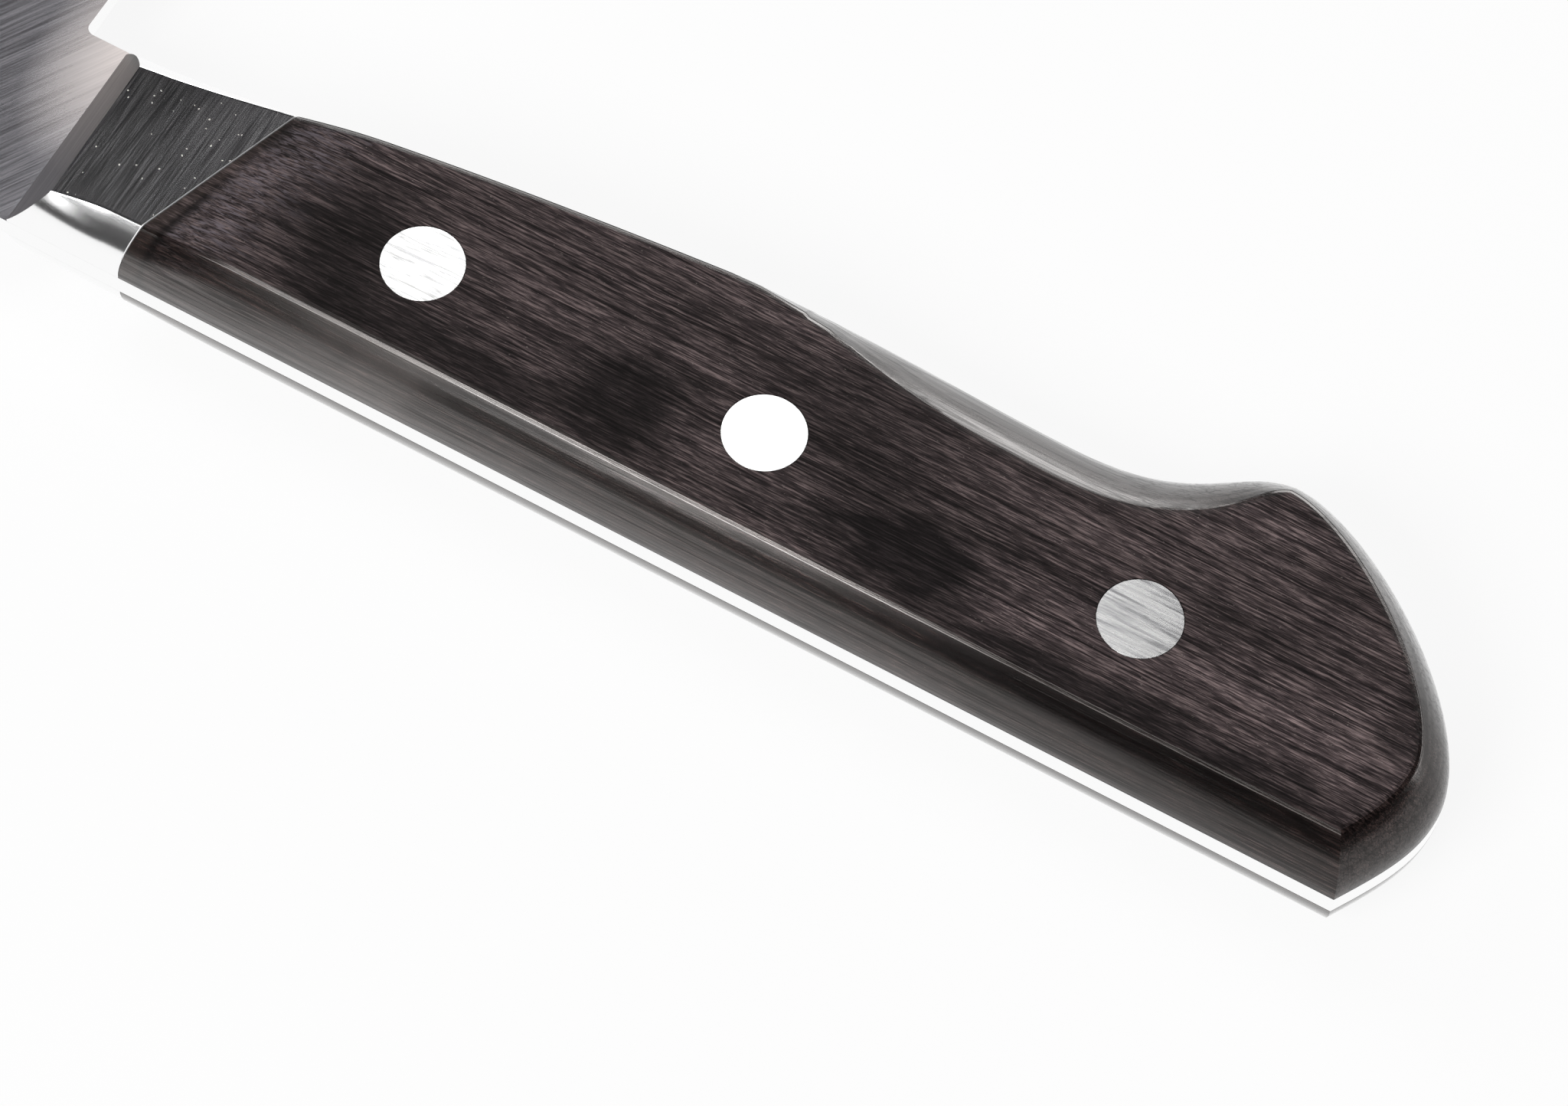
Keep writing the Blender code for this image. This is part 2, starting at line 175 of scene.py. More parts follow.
def softenEdges(bm, edges, width, segments):
    bmesh.ops.bevel(bm, geom=edges, offset=width, segments=segments, profile=0.5, affect="EDGES", material=-1)


def keepSide(bm, spot, normal):
    # cuts, keeps what lies against the normal and closes the cut
    bmesh.ops.bisect_plane(bm, geom=everything(bm), plane_co=spot, plane_no=normal, clear_outer=True)
    rim = [e for e in bm.edges if e.is_boundary]
    return bmesh.ops.holes_fill(bm, edges=rim)["faces"]


def acrossSlant(slant):
    return Vector((math.cos(slant), -math.sin(slant), 0))


def faceHeight(form, x, y):
    # the flat face over the seat: it rises to the valley, then up the ramp to its full height
    valley = form["thickness"] - form["valleyDrop"]
    past = (x - form["valleyAt"]) * math.cos(form["valleySlant"]) - y * math.sin(form["valleySlant"])
    if past < 0:
        return valley + (valley - form["bolsterThickness"]) * past / form["valleyAt"]
    left = max(0, 1 - past / form["rampLength"])
    return form["thickness"] - form["valleyDrop"] * left**2


def handleBlank(form, creaseWidth):
    # half a handle: rings that draw in from the tang to the flat face, then the front ground down
    line = handleLine(form)
    spots = [spot for spot, inset in line]
    offsets = inwardOffsets(spots, form["mitreLimit"])
    seat = datum["seat"]
    bm = bmesh.new()
    ring = startRing(bm, [(spot.x, spot.y, seat) for spot in spots])
    bmesh.ops.contextual_create(bm, geom=ring)
    for step in range(1, form["sideRings"] + 1):
        rise = step / form["sideRings"]
        drawn = [spot + offset * inset * rise**2 for (spot, inset), offset in zip(line, offsets)]
        ring = growRing(bm, ring, lambda i: (*drawn[i], seat + form["thickness"] * rise))
    bmesh.ops.contextual_create(bm, geom=ring)
    softenEdges(bm, ring, creaseWidth, form["creaseSegments"])
    across = acrossSlant(form["valleySlant"])
    for step in range(form["rampSlices"] + 1):
        spot = Vector((form["valleyAt"], 0, 0)) + across * form["rampLength"] * step / form["rampSlices"]
        bmesh.ops.bisect_plane(bm, geom=everything(bm), plane_co=spot, plane_no=across)
    for v in bm.verts:
        v.co.z = seat + (v.co.z - seat) * faceHeight(form, v.co.x, v.co.y) / form["thickness"]
    return bm


def jointPlane(form, shift):
    normal = acrossSlant(form["jointSlant"])
    return Vector((form["jointAt"], 0, 0)) + normal * shift, normal


def shadeSmooth(mesh, limit):
    # smooth up to the limit, with the flat faces kept flat right to their rims
    bm = bmesh.new()
    bm.from_mesh(mesh)
    for f in bm.faces:
        f.smooth = True
    for e in bm.edges:
        flat = [abs(f.normal.z) > datum["flatNormal"] for f in e.link_faces]
        e.smooth = e.calc_face_angle(0) < limit and any(flat) == all(flat)
    bm.to_mesh(mesh)
    bm.free()


def makePiece(name, bm, node, sharpAngle, cutters=()):
    # lays the finished shape in the frame, drills it and puts it in place of its CAD node
    bmesh.ops.recalc_face_normals(bm, faces=bm.faces)
    mesh = bpy.data.meshes.new(name)
    bm.to_mesh(mesh)
    bm.free()
    piece = bpy.data.objects.new(name, mesh)
    bpy.context.scene.collection.objects.link(piece)
    for cutter in cutters:
        drill = piece.modifiers.new("drill", "BOOLEAN")
        drill.operation, drill.solver, drill.object = "DIFFERENCE", "EXACT", cutter
    if cutters:
        bpy.context.view_layer.update()
        drilled = bpy.data.meshes.new_from_object(piece.evaluated_get(bpy.context.evaluated_depsgraph_get()))
        piece.modifiers.clear()
        piece.data = drilled
        piece.data.name = name
        bpy.data.meshes.remove(mesh)
    piece.data.transform(Matrix.Translation(toFrame))
    shadeSmooth(piece.data, math.radians(sharpAngle))
    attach(piece, "root")
    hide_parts(node)
    return piece


# rivets: a male and a female half each, head of 7 mm ground flush
rivetForm = {
    "places": {"front": (0.0332, 0.0107), "middle": (0.0645, 0.01096), "rear": (0.0980, 0.01125)},
    "head": 0.0035, "headThickness": 0.0018, "sleeve": 0.0024, "pin": 0.0015, "pinShort": 0.0010,
    "sink": 0.00003, "fit": 0.00003, "rim": 0.00004, "drillPast": 0.001,
    "sides": 96, "closed": 1e-7, "sharpAngle": 30,
}


def turnedShape(profile, spot, form):
    bm = bmesh.new()
    verts = [bm.verts.new((r, 0, z)) for r, z in profile]
    edges = [bm.edges.new(pair) for pair in zip(verts, verts[1:])]
    bmesh.ops.spin(
        bm, geom=verts + edges, cent=(0, 0, 0), axis=(0, 0, 1), angle=math.tau, steps=form["sides"], use_merge=True
    )
    bmesh.ops.remove_doubles(bm, verts=bm.verts, dist=form["closed"])
    bmesh.ops.translate(bm, vec=(*spot, 0), verts=bm.verts)
    return bm


def rivetMale(form, spot):
    top = datum["face"] - form["sink"]
    under = top - form["headThickness"]
    end = -datum["face"] + form["headThickness"] + form["pinShort"]
    head, pin, rim = form["head"], form["pin"], form["rim"]
    profile = [(0, top), (head - rim, top), (head, top - rim), (head, under), (pin, under), (pin, end), (0, end)]
    return turnedShape(profile, spot, form)


def rivetFemale(form, spot):
    low = -datum["face"] + form["sink"]
    upper = low + form["headThickness"]
    mouth = datum["face"] - form["sink"] - form["headThickness"] - form["fit"]
    head, rim, bore = form["head"], form["rim"], form["pin"] + form["fit"]
    profile = [(0, upper), (bore, upper), (bore, mouth), (form["sleeve"], mouth), (form["sleeve"], upper)]
    profile += [(head, upper), (head, low + rim), (head - rim, low), (0, low)]
    return turnedShape(profile, spot, form)


def rivetPocket(form, spot):
    head, sleeve = form["head"] + form["fit"], form["sleeve"] + form["fit"]
    out = datum["face"] + form["drillPast"]
    seat = datum["face"] - form["sink"] - form["headThickness"] - form["fit"]
    upper = [(0, out), (head, out), (head, seat), (sleeve, seat)]
    return turnedShape(upper + [(r, -z) for r, z in reversed(upper)], spot, form)


def makeCutters(form):
    cutters = []
    for place, spot in form["places"].items():
        bm = rivetPocket(form, spot)
        bmesh.ops.recalc_face_normals(bm, faces=bm.faces)
        mesh = bpy.data.meshes.new("pocket")
        bm.to_mesh(mesh)
        bm.free()
        cutter = bpy.data.objects.new("pocket_" + place, mesh)
        bpy.context.scene.collection.objects.link(cutter)
        cutters.append(cutter)
    return cutters


scaleForm = {"creaseWidth": 0.00058, "sharpAngle": 6.5}


def scaleShape(left):
    bm = handleBlank(handleForm, scaleForm["creaseWidth"])
    spot, normal = jointPlane(handleForm, handleForm["jointGap"] / 2)
    keepSide(bm, spot, -normal)
    if left:
        bmesh.ops.scale(bm, vec=(1, 1, -1), verts=bm.verts)
    return bm


bolsterForm = {
    "creaseWidth": 0.00018, "slopeLength": 0.0034, "toe": 0.0002, "edgeBreak": 0.00010, "edgeSegments": 2,
    "weld": 0.000005, "sliver": 2e-7, "sharpAngle": 6.5,
}


def bolsterShape(left):
    bm = handleBlank(handleForm, bolsterForm["creaseWidth"])
    spot, normal = jointPlane(handleForm, -handleForm["jointGap"] / 2)
    cap = keepSide(bm, spot, normal)
    middle = datum["seat"] + handleForm["bolsterThickness"] / 2
    rim = [e for e in cap[0].edges if min(v.co.z for v in e.verts) > middle]
    softenEdges(bm, rim, bolsterForm["edgeBreak"], bolsterForm["edgeSegments"])
    keepSide(bm, (0, 0, 0), (-1, 0, 0))
    rise = faceHeight(handleForm, bolsterForm["slopeLength"], 0) - bolsterForm["toe"]
    keepSide(bm, (0, 0, datum["seat"] + bolsterForm["toe"]), (-rise, 0, bolsterForm["slopeLength"]))
    # the cheek is welded on, so its seat comes down to the steel
    for v in bm.verts:
        if v.co.z < datum["seat"] + datum["same"]:
            v.co.z = datum["halfSteel"] + bolsterForm["weld"]
    bmesh.ops.dissolve_degenerate(bm, dist=bolsterForm["sliver"], edges=bm.edges)
    if left:
        bmesh.ops.scale(bm, vec=(1, 1, -1), verts=bm.verts)
    return bm


bladeForm = {
    "length": 0.210, "tipDrop": 0.017, "edgeSweep": 3.6, "spineSweep": 5.0, "flatLength": 0.115, "tipTaper": 0.35,
    "taperSweep": 1.5, "edgeThickness": 0.0005, "edgeBevel": 0.0012, "bevelFade": 8,
    "heelGap": 0.0043, "heelFillet": 0.0008, "filletSegments": 6, "taperRun": 0.022,
    "stations": 90, "stationSweep": 1.5, "sharpAngle": 7.0,
}


def bladeSpots(form, distance):
    # spine, neck line, bevel shoulder and edge on the right, then back on the left
    along = distance / form["length"]
    spine = form["tipDrop"] * along ** form["spineSweep"]
    edge = datum["heelHeight"] - (datum["heelHeight"] - form["tipDrop"]) * along ** form["edgeSweep"]
    fade = 1 - along ** form["bevelFade"]
    shoulder = edge - form["edgeBevel"] * fade
    neck = spine + (edge - spine) * handleForm["neckHeight"] / datum["heelHeight"]
    slope = (datum["halfSteel"] - form["edgeThickness"] / 2) / (datum["heelHeight"] - form["edgeBevel"])
    grown = easeBoth(min(1, (distance + form["heelGap"]) / form["taperRun"]))
    outer = max(0, (distance - form["flatLength"]) / (form["length"] - form["flatLength"]))
    thin = 1 - (1 - form["tipTaper"]) * outer ** form["taperSweep"]
    lines = ((spine, 1), (neck, grown), (shoulder, 1))
    half = [(y, (datum["halfSteel"] - slope * y * share) * thin) for y, share in lines]
    half[2] = (shoulder, half[2][1] * fade)
    around = half + [(edge, 0)] + [(y, -z) for y, z in reversed(half)]
    return [Vector((-form["heelGap"] - distance, y, z)) for y, z in around]


def tangPlate(form, neckHalf):
    # neck and tang: one outline pulled to the steel's thickness, open where the blade joins it
    gap, neckHeight, half = form["heelGap"], handleForm["neckHeight"], datum["halfSteel"]
    tang = [spot for spot, inset in handleLine(handleForm) if spot.x >= 0]
    outline = [Vector((-gap, 0))] + tang + [Vector((0, neckHeight)), Vector((-gap, neckHeight))]
    plate = bmesh.new()
    flat = plate.faces.new([plate.verts.new((spot.x, spot.y, half)) for spot in outline])
    pulled = bmesh.ops.extrude_face_region(plate, geom=[flat])["geom"]
    lower = [v for v in pulled if isinstance(v, bmesh.types.BMVert)]
    bmesh.ops.translate(plate, vec=(0, 0, -2 * half), verts=lower)
    bmesh.ops.bisect_plane(plate, geom=everything(plate), plane_co=(0, 0, 0), plane_no=(1, 0, 0))
    for v in plate.verts:
        if v.co.x < -gap / 2 and v.co.y > neckHeight / 2:
            v.co.z = math.copysign(neckHalf, v.co.z)
    front = [f for f in plate.faces if all(v.co.x < -gap / 2 for v in f.verts)]
    bmesh.ops.delete(plate, geom=front, context="FACES_ONLY")
    return plate


def addShape(bm, other):
    carry = bpy.data.meshes.new("carry")
    other.to_mesh(carry)
    other.free()
    bm.from_mesh(carry)
    bpy.data.meshes.remove(carry)


def liesAt(vert, x, y):
    return abs(vert.co.x - x) < datum["same"] and abs(vert.co.y - y) < datum["same"]


def bladeShape(form):
    bm = bmesh.new()
    heel = bladeSpots(form, 0)
    ring = startRing(bm, heel)
    first = bm.verts[:]
    for station in range(1, form["stations"]):
        share = 1 - (1 - station / form["stations"]) ** form["stationSweep"]
        spots = bladeSpots(form, form["length"] * share)
        ring = growRing(bm, ring, lambda i: spots[i])
    point = {v for e in ring for v in e.verts}
    bmesh.ops.contextual_create(bm, geom=ring)
    bmesh.ops.pointmerge(bm, verts=list(point), merge_co=(datum["tipAt"], form["tipDrop"], 0))
    bmesh.ops.contextual_create(bm, geom=first[1:6])  # end face of the heel, below the neck line
    addShape(bm, tangPlate(form, heel[1].z))
    bmesh.ops.remove_doubles(bm, verts=bm.verts, dist=datum["same"])
    bmesh.ops.recalc_face_normals(bm, faces=bm.faces)
    notch = [e for e in bm.edges if all(liesAt(v, -form["heelGap"], handleForm["neckHeight"]) for v in e.verts)]
    softenEdges(bm, notch, form["heelFillet"], form["filletSegments"])
    return bm


cutters = makeCutters(rivetForm)
pieces = {}
pieces["blade"] = makePiece(
    "bladeSteel", bladeShape(bladeForm), "blade", bladeForm["sharpAngle"], cutters
)
print("blade made")
for side in ("right", "left"):
    scale, bolster, left = "scale_" + side, "bolster_" + side, side == "left"
    pieces[scale] = makePiece(
        scale + "_wood", scaleShape(left), scale, scaleForm["sharpAngle"], cutters
    )
    pieces[bolster] = makePiece(
        bolster + "_steel", bolsterShape(left), bolster, bolsterForm["sharpAngle"]
    )
print("scales and bolster made")
for place, spot in rivetForm["places"].items():
    rivet, sharpAngle = "rivet_" + place, rivetForm["sharpAngle"]
    pieces["male_" + place] = makePiece(
        rivet + "_head", rivetMale(rivetForm, spot), rivet + "_male", sharpAngle
    )
    pieces["female_" + place] = makePiece(
        rivet + "_sleeve", rivetFemale(rivetForm, spot), rivet + "_female", sharpAngle
    )
for cutter in cutters:
    spent = cutter.data
    bpy.data.objects.remove(cutter)
    bpy.data.meshes.remove(spent)
print("rivets made")


class Finish:
    # a small helper to lay out one material's nodes
    def __init__(self, name):
        self.material = bpy.data.materials.new(name)
        self.material.use_nodes = True
        self.tree = self.material.node_tree
        self.shader = self.tree.nodes["Principled BSDF"]
        place = self.tree.nodes.new("ShaderNodeTexCoord")
        self.coords = place.outputs["Object"]
        self.facing = self.tree.nodes.new("ShaderNodeSeparateXYZ")
        self.link(place.outputs["Normal"], self.facing.inputs["Vector"])

    def set(self, values):
        for socket, value in values.items():
            self.shader.inputs[socket].default_value = value

    def link(self, source, target):
        self.tree.links.new(source, target)

    def feed(self, socket, value):
        self.link(value, self.shader.inputs[socket])

    def mapping(self, scale, turn=(0, 0, 0), shift=(0, 0, 0), vector=None):
        node = self.tree.nodes.new("ShaderNodeMapping")
        node.inputs["Location"].default_value = shift
        node.inputs["Rotation"].default_value = turn
        node.inputs["Scale"].default_value = scale
        self.link(vector or self.coords, node.inputs["Vector"])
        return node.outputs["Vector"]

    def vector(self, kind, a, b=None):
        node = self.tree.nodes.new("ShaderNodeVectorMath")
        node.operation = kind
        for socket, value in zip(node.inputs, (a, b)):
            if isinstance(value, tuple):
                socket.default_value = value
            elif value is not None:
                self.link(value, socket)
        return node.outputs["Value" if kind in ("LENGTH", "DOT_PRODUCT") else "Vector"]

    def along(self, direction):
        # distance along a direction
        return self.vector("DOT_PRODUCT", self.coords, direction)

    def sides(self, flat, side):
        # 0 on the flat faces, 1 on everything that turns away from them
        return self.spread(self.size(self.facing.outputs["Z"]), 0.0, 1.0, flat, side)

    def noiseNode(self, detail=2.0, rough=0.5, lean=0.0):
        node = self.tree.nodes.new("ShaderNodeTexNoise")
        for name, number in (("Scale", 1), ("Detail", detail), ("Roughness", rough), ("Distortion", lean)):
            node.inputs[name].default_value = number
        return node

    def noise(self, scale, turn=(0, 0, 0), shift=(0, 0, 0), vector=None, bend=None, **kind):
        # a noise stretched by the scale, and pushed about by the bend
        place = self.mapping(scale, turn, shift, vector)
        node = self.noiseNode(**kind)
        self.link(self.vector("ADD", place, bend) if bend else place, node.inputs["Vector"])
        return node.outputs["Fac"]

    def layers(self, height, detail):
        # a noise through the thickness only
        node = self.noiseNode(detail)
        node.noise_dimensions = "1D"
        self.link(height, node.inputs["W"])
        return node.outputs["Fac"]

    def stir(self, scale, reach):
        # a push in a direction that wanders over the surface
        node = self.noiseNode()
        self.link(self.mapping(scale), node.inputs["Vector"])
        return self.vector("MULTIPLY", node.outputs["Color"], reach)

    def ramp(self, value, stops):
        node = self.tree.nodes.new("ShaderNodeValToRGB")
        band = node.color_ramp
        while len(band.elements) < len(stops):
            band.elements.new(0.5)
        for element, (at, color) in zip(band.elements, stops):
            element.position = at
            element.color = (*color, 1) if isinstance(color, tuple) else (color, color, color, 1)
        self.link(value, node.inputs["Fac"])
        return node.outputs["Color"]

    def math(self, kind, a, b=0.0):
        node = self.tree.nodes.new("ShaderNodeMath")
        node.operation = kind
        for socket, value in zip(node.inputs, (a, b)):
            if isinstance(value, (int, float)):
                socket.default_value = value
            else:
                self.link(value, socket)
        return node.outputs["Value"]

    def plus(self, a, b):
        return self.math("ADD", a, b)

    def less(self, a, b):
        return self.math("SUBTRACT", a, b)

    def times(self, a, b):
        return self.math("MULTIPLY", a, b)

    def most(self, a, b):
        return self.math("MAXIMUM", a, b)

    def size(self, value):
        return self.math("ABSOLUTE", value)

    def apart(self, value, middle):
        return self.size(self.less(value, middle))

    def mix(self, kind, share, a, b):
        node = self.tree.nodes.new("ShaderNodeMix")
        node.data_type, node.blend_type = "RGBA", kind
        for name, value in (("Factor_Float", share), ("A_Color", a), ("B_Color", b)):
            socket = next(s for s in node.inputs if s.identifier == name)
            if isinstance(value, (int, float)):
                socket.default_value = value
            elif isinstance(value, tuple):
                socket.default_value = (*value, 1)
            else:
                self.link(value, socket)
        return next(s for s in node.outputs if s.identifier == "Result_Color")

    def spread(self, value, low, high, fromLow=0.0, fromHigh=1.0):
        # carries a range of values over to low and high, and no further
        node = self.tree.nodes.new("ShaderNodeMapRange")
        for name, number in (("From Min", fromLow), ("From Max", fromHigh), ("To Min", low), ("To Max", high)):
            node.inputs[name].default_value = number
        self.link(value, node.inputs["Value"])
        return node.outputs["Result"]

    def bump(self, height, distance, strength):
        node = self.tree.nodes.new("ShaderNodeBump")
        node.inputs["Distance"].default_value = distance
        node.inputs["Strength"].default_value = strength
        self.link(height, node.inputs["Height"])
        self.feed("Normal", node.outputs["Normal"])

    def dress(self, *objects):
        for obj in objects:
            obj.data.materials.clear()
            obj.data.materials.append(self.material)


# in the looks below, tones are pairs of noise value and tone, and four numbers are a spread: low, high and their range
woodLook = {
    "shader": {"IOR": 1.55, "Coat IOR": 1.60, "Coat Roughness": 0.14, "Specular Tint": (1.0, 0.92, 0.88, 1.0)},
    "flatFacing": (0.985, 0.90),
    "tones": [(0.34, (0.0135, 0.0102, 0.0111)), (0.50, (0.0625, 0.0470, 0.0485)), (0.66, (0.205, 0.156, 0.153))],
    "mottle": {"scale": (480, 7200, 5200), "detail": 3, "rough": 0.65},
    "specks": {"scale": (3600, 8000, 6000), "detail": 1}, "glint": (0.27, 0.23, 0.215), "glintShare": (0.0, 0.7, 0.70, 0.80),
    "bend": {"scale": (40, 160, 90), "reach": (0.0, 1.2, 0.0)},
    "bands": {"scale": (12, 330, 260), "detail": 3, "rough": 0.6}, "bandTones": [(0.32, 0.62), (0.50, 1.0), (0.68, 1.30)],
    "lines": {"scale": (4, 1150, 800), "shift": (0, 7, 0), "detail": 3, "rough": 0.55},
    "lineAt": 0.5, "lineDepth": (0.95, 0.0, 0.006, 0.028),
    "hairs": {"scale": (7, 2500, 1700), "shift": (0, 3, 0)}, "hairAt": 0.47, "hairDepth": (0.80, 0.0, 0.006, 0.030),
    "furrow": (0.15, 0.14, 0.15), "furrowDrop": 0.35,
    # painted shade: the wood's colour darkens towards the front of the handle
    "frontShadeRun": (0.0, 1.0, 0.110, 0.150), "frontShadeTones": [(0.0, 0.76), (1.0, 1.0)],
    # veneers lie in layers, so they band the sides and cloud the faces
    "veneerPitch": 1700, "veneerDetail": 2, "sway": {"scale": (20, 70, 40)}, "swayBy": 6.0,
    "veneerTones": [(0.32, 0.55), (0.50, 1.0), (0.70, 1.22)],
    # the ground front, by the distance past the valley
    "torn": {"scale": (480, 4600, 2800), "shift": (0, 3, 0), "detail": 3, "rough": 0.6, "lean": 1.1},
    "sanded": (0.120, 0.102, 0.115), "sandedShare": (0.0, 0.95, 0.49, 0.64),
    "groundStart": (0.0, 1.0, -0.0001, 0.0006), "groundEnd": (1.0, 0.0, 0.0034, 0.0085),
    "wedge": (0.075, 0.055, 0.047), "wedgeShare": (0.2, 0.8, 0.4, 0.65), "wedgeReach": (0.6, 0.0, -0.0004, 0.0),
    # painted shade: a dark line along the valley's crease, fading away from the spine
    "valleyShadeWidth": (0.85, 0.0, 0.0001, 0.0006), "valleyShadeEnd": (1.0, 0.0, -0.0165, -0.0115),
    # dark patches in the face, the last a band of painted shade along the butt's rim: centre and reach in x and y, and
    # depth
    "patches": [
        ((0.0714, -0.0150), (0.0062, 0.0080), 0.76), ((0.0840, -0.0185), (0.0150, 0.0030), 0.80),
        ((0.0980, -0.0146), (0.0062, 0.0048), 0.88), ((0.1150, -0.0070), (0.0105, 0.0060), 0.45),
        ((0.1234, -0.0160), (0.0080, 0.0041), 0.97), ((0.1440, -0.0203), (0.0230, 0.0032), 0.85),
        ((0.1650, -0.0075), (0.0024, 0.0095), 0.60),
    ],
    "patchTint": (0.10, 0.10, 0.11), "patchRim": (0.55, 1.20),
    "rag": {"scale": (170, 800, 0), "reach": (1.5, 1.5, 0.0)},
    # buffed sides and the worn crease along the spine
    "buffed": (0.30, 0.265, 0.245), "underTang": (1.0, 0.0, 0.0065, 0.0075),
    "glossFade": (1.0, 0.15, 0.070, 0.165), "grooveFacing": (0.0, 1.0, 0.35, 0.60),
    "creaseRise": (0.0, 1.0, 0.50, 0.72), "creaseSide": (1.0, 0.0, -0.30, -0.15),
    "creaseStart": (0.12, 1.0, 0.061, 0.085), "creaseEnd": (1.0, 0.06, 0.118, 0.136),
    "wornAt": 0.079, "wornReach": (1.0, 0.0, 0.002, 0.020), "wornDulling": 0.45,
    "wear": {"scale": (90, 60, 60)}, "wearShare": (0.6, 1.0, 0.4, 0.6),
    "veneerGloss": (0.66, 1.0, 0.34, 0.6), "furrowGloss": (1.0, 0.45),
    "leastShine": 0.13, "veneerShine": (0.35, 0.62, 0.50, 1.0), "shineFade": (0.87, 0.45, 0.110, 0.165),
    "grainRough": (0.54, 0.42, 0.15, 0.60), "buffing": (0.28, 0.10), "buffedBump": (1.0, 0.3), "bump": (0.00005, 0.5),
}


def vesselFurrows(wood, look, bend):
    # vessels run as fine dark lines along the contours of a stretched noise
    lines = wood.noise(**look["lines"], bend=bend)
    hairs = wood.noise(**look["hairs"], bend=bend)
    vessel = wood.spread(wood.apart(lines, look["lineAt"]), *look["lineDepth"])
    hair = wood.spread(wood.apart(hairs, look["hairAt"]), *look["hairDepth"])
    return wood.most(vessel, hair)


def sawnColor(wood, look, mottle, furrow, bend):
    color = wood.ramp(mottle, look["tones"])
    glint = wood.spread(wood.noise(**look["specks"]), *look["glintShare"])
    color = wood.mix("MIX", glint, color, look["glint"])
    bands = wood.noise(**look["bands"], bend=bend)
    color = wood.mix("MULTIPLY", 1.0, color, wood.ramp(bands, look["bandTones"]))
    color = wood.mix("MULTIPLY", furrow, color, look["furrow"])
    # painted shade: the colour is darkened towards the front and comes up to full towards the butt
    front = wood.spread(wood.along((1, 0, 0)), *look["frontShadeRun"])
    return wood.mix("MULTIPLY", 1.0, color, wood.ramp(front, look["frontShadeTones"]))


def groundFront(wood, look, color):
    # the ramp shows pale torn fibres and the wedge before it is browner; the dark line along the valley is painted
    # shade in its crease
    across = acrossSlant(handleForm["valleySlant"])
    start = across.dot(toFrame) + across.x * handleForm["valleyAt"]
    past = wood.less(wood.along(tuple(across)), start)
    torn = wood.noise(**look["torn"])
    ground = wood.times(wood.spread(past, *look["groundEnd"]), wood.spread(past, *look["groundStart"]))
    color = wood.mix("MIX", wood.times(ground, wood.spread(torn, *look["sandedShare"])), color, look["sanded"])
    before = wood.times(wood.spread(past, *look["wedgeReach"]), wood.spread(torn, *look["wedgeShare"]))
    color = wood.mix("MIX", before, color, look["wedge"])
    # painted shade: a thin dark line in the valley's crease, on the spine half only
    valley = wood.spread(wood.size(past), *look["valleyShadeWidth"])
    valley = wood.times(valley, wood.spread(wood.along((0, 1, 0)), *look["valleyShadeEnd"]))
    return wood.mix("MULTIPLY", valley, color, look["furrow"])


def darkPatches(wood, look, color):
    ragged = wood.stir(**look["rag"])
    middle = look["rag"]["reach"][0] / 2
    # each patch darkens the colour; the one by the butt's rim is painted shade
    for (x, y), (reachX, reachY), depth in look["patches"]:
        spot = wood.mapping((1 / reachX, 1 / reachY, 0), shift=(-x / reachX - middle, -y / reachY - middle, 0))
        away = wood.vector("LENGTH", wood.vector("ADD", spot, ragged))
        color = wood.mix("MULTIPLY", wood.spread(away, depth, 0.0, *look["patchRim"]), color, look["patchTint"])
    return color


def woodShine(wood, look, side, veneer, furrow, grain):
    lengthwise, facing = wood.along((1, 0, 0)), wood.facing.outputs
    # the clear gloss fades to the butt, but stays in the groove and on the scale below the tang
    under = wood.spread(wood.along((0, 0, 1)), *look["underTang"])
    kept = wood.most(wood.spread(lengthwise, *look["glossFade"]), wood.spread(facing["Y"], *look["grooveFacing"]))
    kept = wood.most(kept, under)
    # the spine crease shines in its middle only, broadly where the hand has worn it
    crease = wood.times(wood.spread(facing["Z"], *look["creaseRise"]), wood.spread(facing["Y"], *look["creaseSide"]))
    shown = wood.times(wood.spread(lengthwise, *look["creaseStart"]), wood.spread(lengthwise, *look["creaseEnd"]))
    faded = wood.less(1.0, wood.times(crease, wood.less(1.0, shown)))
    worn = wood.spread(wood.apart(lengthwise, look["wornAt"]), *look["wornReach"])
    worn = wood.times(worn, wood.spread(wood.noise(**look["wear"]), *look["wearShare"]))
    dulled = wood.less(1.0, wood.times(wood.times(crease, worn), look["wornDulling"]))
    layered = wood.times(wood.spread(veneer, *look["veneerGloss"]), wood.spread(furrow, *look["furrowGloss"]))
    gloss = wood.times(wood.times(side, kept), wood.times(wood.most(layered, under), faded))
    wood.feed("Coat Weight", wood.times(gloss, dulled))
    shine = wood.most(wood.most(worn, under), wood.spread(layered, *look["veneerShine"]))
    shine = wood.times(wood.times(shine, faded), wood.spread(lengthwise, *look["shineFade"]))
    wood.feed("Specular IOR Level", wood.plus(look["leastShine"], wood.times(side, shine)))
    buffing = wood.times(side, wood.spread(worn, *look["buffing"]))
    wood.feed("Roughness", wood.less(wood.spread(grain, *look["grainRough"]), buffing))
    wood.bump(wood.times(grain, wood.spread(side, *look["buffedBump"])), *look["bump"])


def dressWood(look):
    wood = Finish("dark laminated wood")
    wood.set(look["shader"])
    side = wood.sides(*look["flatFacing"])
    sway = wood.times(wood.noise(**look["sway"]), look["swayBy"])
    height = wood.times(wood.along((0, 0, 1)), look["veneerPitch"])
    veneer = wood.layers(wood.plus(height, sway), look["veneerDetail"])
    bend = wood.stir(**look["bend"])
    mottle = wood.noise(**look["mottle"])
    furrow = vesselFurrows(wood, look, bend)
    grain = wood.less(mottle, wood.times(furrow, look["furrowDrop"]))
    color = groundFront(wood, look, sawnColor(wood, look, mottle, furrow, bend))
    color = wood.mix("MULTIPLY", 1.0, color, wood.ramp(veneer, look["veneerTones"]))
    color = darkPatches(wood, look, color)
    wood.feed("Base Color", wood.mix("MULTIPLY", side, color, look["buffed"]))
    woodShine(wood, look, side, veneer, furrow, grain)
    return wood


